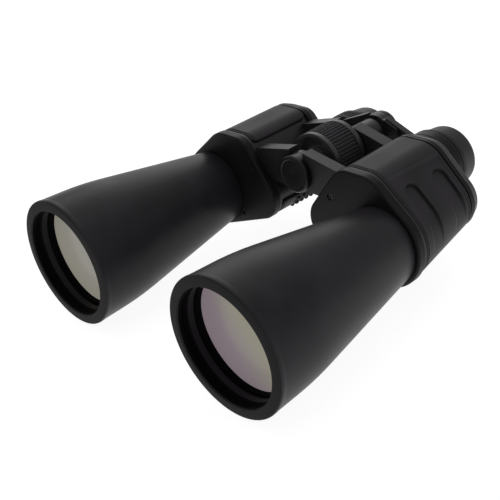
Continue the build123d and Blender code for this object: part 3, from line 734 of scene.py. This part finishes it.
tyre_st = np.linspace(TYRE_FIRST, TYRE_LAST, 121)
tyre_r = TYRE_R + TYRE_RISE * (tyre_st - TYRE_FIRST) / (TYRE_LAST - TYRE_FIRST)
tyre_line = np.concatenate([
    [(16.0, 135.3), (17.2, 135.3)], np.stack([tyre_r, tyre_st], 1),
    [(17.4, 151.2), (16.0, 151.2)]])
tyre = turned("block_tyre", WHEEL_AXIS, tyre_line, RIBS * 10, tyre_blocks)
stands_for(tyre, "focus_wheel_grip", grip_rubber)

# %% [markdown]
# ## Cover screws
# Small cross-head screws hold the covers. All five of a side are one piece, and each is a
# polar grid, so the cross is only a place where the face of the head steps in.

# %% Cover screws
HEAD_R, HEAD_T, SHANK_R, FACE_STEPS = 1.7, 1.2, 1.0, 24
CROSS_HALF, CROSS_REACH, CROSS_DEPTH = 0.24, 1.2, 0.7
FRONT_PLACES = ((29.6, 18.5), (40.5, -10.8))
REAR_PLACES = ((30.5, 19.5), (57.5, 28.5), (73.6, -3.6))
FRONT_SCREW, REAR_SCREW = (112.0, 120.2), (169.2, 157.2)     # stations of seat and tip


def screw_grid(x, up, seat, tip):
    """Points of one screw: radius r(j) and station s(j) along its profile, turned about its
    axis; the face is deeper where |x| or |z| from the axis is under CROSS_HALF."""
    out = np.sign(seat - tip)
    face = seat + out * HEAD_T
    face_r = np.linspace(0, HEAD_R - 0.2, FACE_STEPS)
    r = np.concatenate([face_r, [HEAD_R, HEAD_R, SHANK_R, SHANK_R, 0]])
    s = np.concatenate([np.full(FACE_STEPS, face), [face - 0.2 * out, seat, seat, tip, tip]])
    u = np.linspace(0, 2 * np.pi, 64, endpoint=False)[:, None]
    dx, dz = r * np.cos(u), r * np.sin(u)
    cross = (np.minimum(abs(dx), abs(dz)) < CROSS_HALF) & (r < CROSS_REACH)
    cross &= np.arange(len(r)) < FACE_STEPS
    y = RIM_Y + (s - CROSS_DEPTH * out * cross) * MM
    return np.stack([(x + dx) * MM, y, (up + dz) * MM], -1)


for tag, side in SIDES:
    lens_up = LENS_AXIS[tag][1] / MM
    screws = bmesh.new()
    for places, seat_and_tip in ((FRONT_PLACES, FRONT_SCREW), (REAR_PLACES, REAR_SCREW)):
        for x, up in places:
            one = grid_mesh("screw", screw_grid(side * x, lens_up + up, *seat_and_tip))
            screws.from_mesh(one.data)
            bpy.data.objects.remove(one)
    mesh = bpy.data.meshes.new(f"{tag}_cross_head_screws")
    screws.to_mesh(mesh)
    screws.free()
    stands_for(seal(placed(mesh.name, mesh)), f"{tag}_cover_screws", screw_black)

# %% [markdown]
# ## Caps on the hinge
# The flat round cap in front hides the tripod thread, and a smaller domed cap ends the
# bridge at the back. Both are simple mouldings, so a profile with soft corners is enough.

# %% Caps
cap_line = eased_rows([
    (0, 113.9, 0.01), (8.6, 113.9, 0.3), (9.0, 113.5, 0.3), (10.1, 113.5, 0.3),    # face
    (10.9, 114.3, 0.5), (10.9, 116.95, 0.3),                                       # edge
    (5.94, 116.95, 0.1), (5.94, 119.0, 0.2), (5.06, 119.0, 0.2), (5.06, 116.95, 0.1),    # skirt
    (0, 116.95, 0.01)])
stands_for(turned("tripod_screw_cap", WHEEL_AXIS, cap_line, 128), "tripod_cap", cap_plastic)
end_line = eased_rows([
    (3.0, 190.9, 0.2), (9.4, 190.9, 0.3), (9.7, 191.3, 0.3), (9.7, 193.3, 0.8),    # edge
    (8.8, 194.8, 0.8), (7.1, 195.5, 0.8), (0, 195.8, 0.01),                        # low dome
    (0, 193.0, 0.01), (3.0, 193.0, 0.2)])                                          # socket
stands_for(turned("bridge_rear_cap", WHEEL_AXIS, end_line, 128), "bridge_end_cap", cap_plastic)

# %% [markdown]
# ## Eyepieces
# A collar with shallow grooves, the cell that holds the eye lens, and a soft rubber cup.
# On the right the collar is the dioptre ring, which is turned by hand, so it has a belt
# of fine ribs. A bump texture could show the ribs, but real ones also break the outline,
# so they are in the mesh.

# %% Collars and dioptre ring
LEFT_BORE, RIGHT_BORE = 13.15, 13.21
COLLAR_R, RIB_COUNT, RIB_SINK = 21.0, 72, 0.4
BELT_FIRST, BELT_LAST = 194.4, 200.2


def collar_line(bore):
    """Profile of a collar with a given bore: two faint grooves and a counterbore."""
    return eased(
        [(bore, 190.8), (19.6, 190.8), (20.8, 192.0), (20.9, 193.4),               # front
         (20.75, 193.7), (20.75, 194.1), (COLLAR_R, BELT_FIRST),                   # groove
         (COLLAR_R, BELT_LAST), (20.85, 200.5), (20.85, 200.9), (COLLAR_R, 201.2),    # groove
         (COLLAR_R, 202.6), (20.6, 203.0), (20.0, 203.0), (20.0, 199.0),           # counterbore
         (bore, 199.0)], cut=0.35)


def fine_ribs(u, r, station):
    """Ribs of the dioptre ring: the belt sinks by RIB_SINK between RIB_COUNT round ribs."""
    belt = smooth(station, BELT_FIRST, BELT_FIRST + 0.6)
    belt = belt * (1 - smooth(station, BELT_LAST - 0.6, BELT_LAST))
    return np.where(r > 20.5, -RIB_SINK * (0.5 - 0.5 * np.cos(RIB_COUNT * u)) * belt, 0.0)


plain = turned("eyepiece_collar", EYE_AXIS["left"], collar_line(LEFT_BORE), 160)
stands_for(plain, "left_eyepiece_collar", cover_paint)
ribbed_line = collar_line(RIGHT_BORE)
belt_line = np.stack([np.full(40, COLLAR_R), np.linspace(194.5, 200.1, 40)], 1)
split = 6 * 7    # after the six points of each of seven corners, where the belt begins
ribbed_line = np.concatenate([ribbed_line[:split], belt_line, ribbed_line[split:]])
ribbed = turned("dioptre_ring", EYE_AXIS["right"], ribbed_line, 10 * RIB_COUNT, fine_ribs)
stands_for(ribbed, "right_dioptre_ring", cover_paint)

# %% Cells, eye lenses and cups
EYE_R, EYE_FLAT, EYE_TOP, EYE_DOME = 10.8, 205.9, 209.9, 48.0
# painted reflection: the eye lenses glow faintly in their coating's tints
EYE_TINTS, EYE_REACH, EYE_GLOW = ((0.10, 0.14, 0.16), (0.14, 0.11, 0.18)), 0.008, 0.1
cell_line = eased(
    [(8.2, 189.0), (11.59, 189.0), (11.59, 205.3), (17.2, 205.3), (17.2, 208.8),    # outside
     (12.2, 210.2), (10.9, 210.2), (10.9, 205.8),                                   # lens seat
     (9.0, 205.8), (9.0, 190.2), (8.2, 190.2)], cut=0.3)                            # inside
eye_r = np.linspace(0, EYE_R, 24)
eye_line = np.concatenate([
    np.stack([eye_r, EYE_TOP - dome(EYE_DOME, eye_r)], 1), [(EYE_R, EYE_FLAT), (0, EYE_FLAT)]])
cup_line = eased(
    [(17.2, 200.9), (19.3, 200.9), (19.7, 201.3), (19.7, 204.2),                    # root
     (19.5, 204.5), (19.5, 204.9), (19.65, 205.2),                                  # groove
     (19.4, 207.6), (18.6, 215.4), (18.1, 216.75), (17.4, 217.0), (16.7, 216.6),    # lip
     (16.2, 215.4), (16.2, 210.6), (17.2, 209.3)], cut=0.7)                         # inside
for tag, _ in SIDES:
    axis = EYE_AXIS[tag]
    lens_cell = turned(f"{tag}_lens_cell", axis, cell_line, 128)
    stands_for(lens_cell, f"{tag}_ocular_cell", dead_black)
    eye_glass = coated_glass(f"{tag}_eye_coating_painted_glow", *EYE_TINTS, axis, EYE_REACH, EYE_GLOW)
    stands_for(turned(f"{tag}_ocular_lens", axis, eye_line, 96), f"{tag}_eye_lens", eye_glass)
    stands_for(turned(f"{tag}_rubber_cup", axis, cup_line, 160), f"{tag}_eyecup", cup_rubber)

# %% [markdown]
# ## Camera
# The view is from the front left and above, at arm's length, with the horizon tipped a
# little. A constraint could point the camera, but it would level the horizon, so its
# three axes are worked out here from two angles and the tilt.

# %% Camera
AZIMUTH, ELEVATION, TILT = math.radians(49.52), math.radians(29.72), math.radians(-7.36)
AIM = np.array([11.88, -42.10, 37.98]) * MM
DISTANCE, FOCAL_LENGTH, SENSOR = 0.46395, 64.30, 36
flat = math.cos(ELEVATION)
back = np.array([math.sin(AZIMUTH) * flat, -math.cos(AZIMUTH) * flat, math.sin(ELEVATION)])
level = np.array([math.cos(AZIMUTH), math.sin(AZIMUTH), 0])
up = np.cross(back, level)
right = math.cos(TILT) * level + math.sin(TILT) * up
above = math.cos(TILT) * up - math.sin(TILT) * level
camera_data = bpy.data.cameras.new("camera")
camera_data.sensor_width = SENSOR
camera_data.lens = FOCAL_LENGTH
camera_data.clip_start = 0.01
camera = placed("camera", camera_data)
pose = np.eye(4)
pose[:3, 0], pose[:3, 1], pose[:3, 2] = right, above, back
pose[:3, 3] = AIM + DISTANCE * back
camera.matrix_world = Matrix(pose.tolist())
bpy.context.scene.camera = camera
print("camera at", pose[:3, 3].round(3))

# %% [markdown]
# ## Floor and light
# Black paint is seen mostly by what it reflects, so the floor is a pale light table that
# glows a little, under a pale sky. Two broad panels, one overhead and one behind, add the
# sheen along the tops of the barrels.

# %% Floor
FLOOR_HALF, FLOOR_Z = 4, -0.0004
FLOOR_GREY, FLOOR_GLOW = (0.20, 0.20, 0.20, 1), 0.92
ends = (-FLOOR_HALF, FLOOR_HALF)
corners = [[(x, y, FLOOR_Z) for y in ends] for x in ends]
floor = grid_mesh("floor", np.array(corners, float), around=False)
if floor.data.polygons[0].normal.z < 0:
    floor.data.flip_normals()
floor_finish = bpy.data.materials.new("pale_floor")
floor_finish.use_nodes = True
floor_shader = floor_finish.node_tree.nodes["Principled BSDF"]
floor_shader.inputs["Base Color"].default_value = FLOOR_GREY
floor_shader.inputs["Roughness"].default_value = 0.9
floor_shader.inputs["Emission Color"].default_value = (1, 1, 1, 1)
floor_shader.inputs["Emission Strength"].default_value = FLOOR_GLOW
floor.data.materials.append(floor_finish)
print("floor", 2 * FLOOR_HALF, "m across")


# %% Lights
def panel_light(name, place, aim, size, power):
    """A square soft light at a place, facing aim."""
    data = bpy.data.lights.new(name, "AREA")
    data.size = size
    data.energy = power
    lamp = placed(name, data)
    lamp.location = place
    toward = np.array(aim) - np.array(place)
    lamp.rotation_euler = (math.atan2(math.hypot(toward[0], toward[1]), -toward[2]), 0,
                           math.atan2(toward[1], toward[0]) - math.pi / 2)
    return lamp


SKY = 0.5
panel_light("overhead_panel", (-0.2, 0.3, 1.3), (0, 0, 0), 1.4, 4)
panel_light("back_panel", (-0.9, 0.9, 0.7), (0, 0, 0.05), 0.9, 3)
world = bpy.data.worlds.new("pale_studio")
world.use_nodes = True
world.node_tree.nodes["Background"].inputs["Color"].default_value = (1, 1, 1, 1)
world.node_tree.nodes["Background"].inputs["Strength"].default_value = SKY
bpy.context.scene.world = world
bpy.context.scene.view_settings.view_transform = "Standard"
print("two panels and a sky of strength", SKY)

# %% Bring the scene up to date
bpy.context.view_layer.update()
